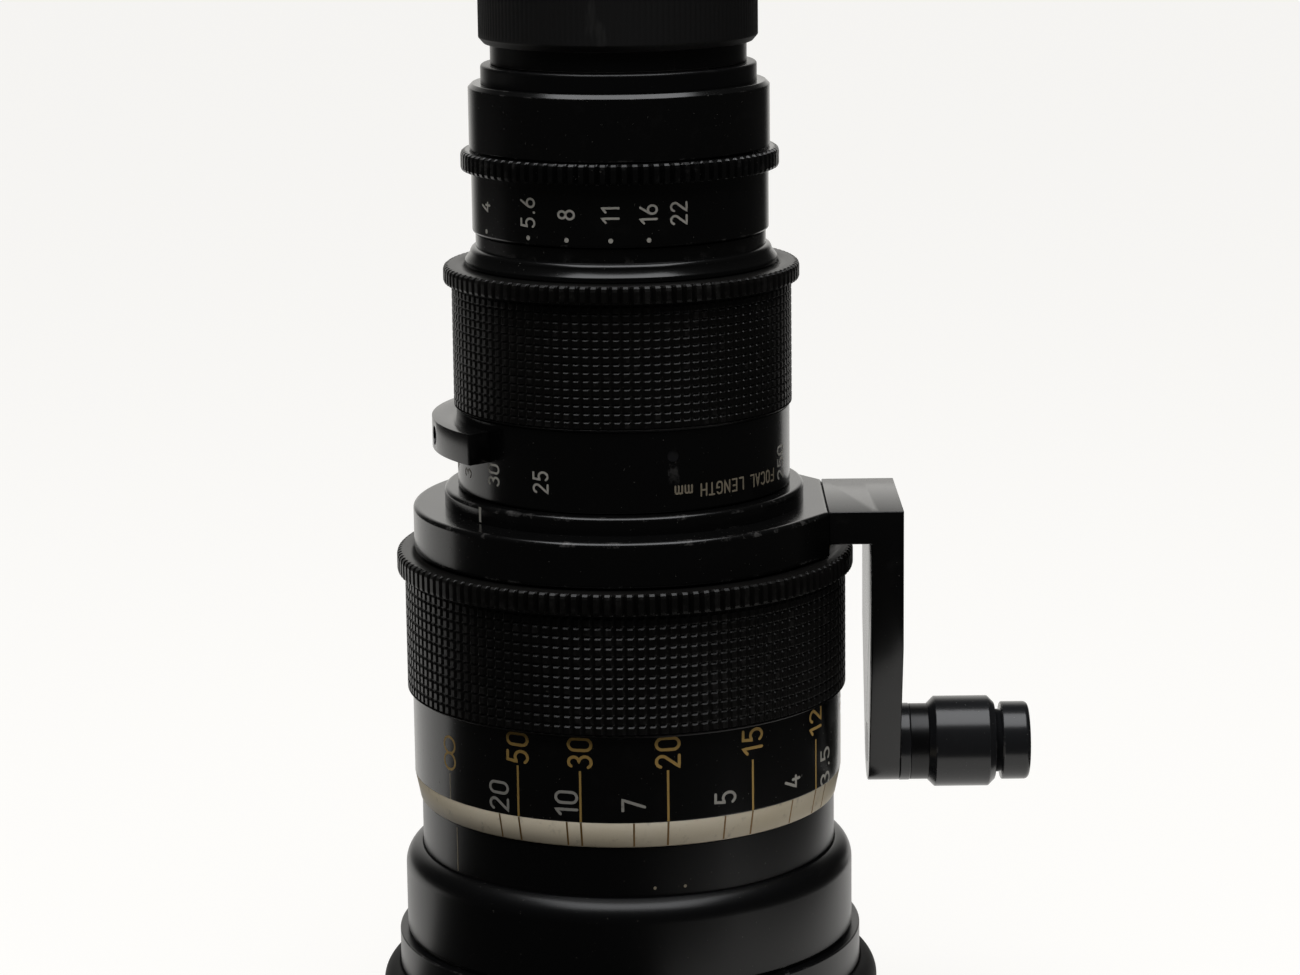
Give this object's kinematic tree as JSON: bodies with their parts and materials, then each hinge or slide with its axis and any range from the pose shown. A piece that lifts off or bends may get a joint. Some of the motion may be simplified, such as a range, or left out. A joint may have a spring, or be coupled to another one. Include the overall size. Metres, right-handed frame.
{
  "type": "zoom lens",
  "caption": "Cine zoom lens standing on its front cap, with geared focus, zoom and iris rings, a lever lug, and a side support arm that carries a turning stud sleeve.",
  "frame": {"origin": "centre of the front cap's outer face, on the optical axis", "axes": "+Z along the optical axis towards the camera mount, +X towards the support arm"},
  "size_m": [0.1654, 0.1268, 0.2808],
  "materials": {
    "cap_plastic": "matt moulded black",
    "satin_black": "satin black anodised alloy",
    "gloss_black": "gloss black anodised alloy, lightly worn edges",
    "knurl_black": "black anodised alloy, cut with a square knurl",
    "stud_black": "gloss black turned stud",
    "cream_paint": "cream enamel",
    "alloy": "turned alloy",
    "brass": "turned brass",
    "steel": "machined steel",
    "blade_steel": "blackened spring steel",
    "mount_steel": "hard-chromed steel",
    "glass": "coated optical glass"
  },
  "bodies": {
    "barrel": {"front_cap": "cap_plastic", "filter_ring": "satin_black", "front_collar": "satin_black", "front_barrel": "satin_black", "guide_tube": "alloy", "guide_screws": "steel", "support_collar": "gloss_black", "index_collar": "gloss_black", "support_arm": "gloss_black", "arm_screws": "steel", "stud_washer": "gloss_black", "stud_post": "satin_black", "stud_end_cap": "stud_black", "relay_barrel": "gloss_black", "rear_ring": "gloss_black", "relay_front_cell": "satin_black", "relay_front_glass": "glass", "relay_rear_cell": "satin_black", "relay_inner_glass": "glass", "relay_spacer": "satin_black", "relay_outer_glass": "glass", "iris_housing": "satin_black", "iris_blades": "blade_steel", "mount_flange": "satin_black", "mount_screws": "steel", "camera_mount": "mount_steel"},
    "focus_body": {"focus_ring": "knurl_black", "focus_scale_ring": "gloss_black", "focus_band": "cream_paint", "focus_sleeve": "brass"},
    "front_cell_body": {"front_cell": "satin_black", "focus_keys": "steel", "front_retainer": "satin_black", "front_glass_outer": "glass", "front_glass_middle": "glass", "front_glass_inner": "glass", "front_spacers": "satin_black"},
    "zoom_body": {"zoom_ring": "knurl_black", "zoom_scale_ring": "gloss_black", "zoom_carrier": "alloy", "zoom_set_screws": "steel", "zoom_lug": "gloss_black", "zoom_lug_screws": "steel", "cam_barrel": "alloy"},
    "variator_body": {"variator_cell": "brass", "variator_glass": "glass", "variator_followers": "steel"},
    "compensator_body": {"compensator_cell": "brass", "compensator_glass": "glass", "compensator_followers": "steel"},
    "iris_body": {"iris_ring": "gloss_black", "iris_gear": "gloss_black", "iris_link_pin": "steel", "iris_drive_ring": "brass"},
    "sleeve_body": {"stud_sleeve": "stud_black"},
    "rear_cap_body": {"rear_cap": "cap_plastic"}
  },
  "joints": [
    {"name": "focus_turn", "type": "hinge", "parent": "barrel", "child": "focus_body", "pos_m": [0, 0, 0.1], "axis": [0, 0, 1], "range_deg": [-331.7, 0]},
    {"name": "front_cell_slide", "type": "slide", "parent": "barrel", "child": "front_cell_body", "axis": [0, 0, 1], "range_m": [-0.01106, 0]},
    {"name": "zoom_turn", "type": "hinge", "parent": "barrel", "child": "zoom_body", "pos_m": [0, 0, 0.17], "axis": [0, 0, 1], "range_deg": [-25.6, 237.1]},
    {"name": "variator_slide", "type": "slide", "parent": "barrel", "child": "variator_body", "axis": [0, 0, 1], "range_m": [-0.00505, 0.04676]},
    {"name": "compensator_slide", "type": "slide", "parent": "barrel", "child": "compensator_body", "axis": [0, 0, 1], "range_m": [-0.01251, 0.00135]},
    {"name": "iris_turn", "type": "hinge", "parent": "barrel", "child": "iris_body", "pos_m": [0, 0, 0.217], "axis": [0, 0, 1], "range_deg": [-80.6, 13]},
    {"name": "sleeve_turn", "type": "hinge", "parent": "barrel", "child": "sleeve_body", "pos_m": [0.0848, 0, 0.0768], "axis": [1, 0, 0], "continuous": true},
    {"name": "rear_cap_pull", "type": "slide", "parent": "barrel", "child": "rear_cap_body", "axis": [0, 0, 1], "range_m": [0, 0.03]}
  ],
  "couplings": [
    {"joint": "front_cell_slide", "follows": "focus_turn", "m_per_rad": 0.0019099},
    {"joint": "variator_slide", "follows": "zoom_turn", "m_per_rad": 0.0113},
    {"joint": "compensator_slide", "follows": "zoom_turn", "m_per_rad": -0.0030239}
  ]
}
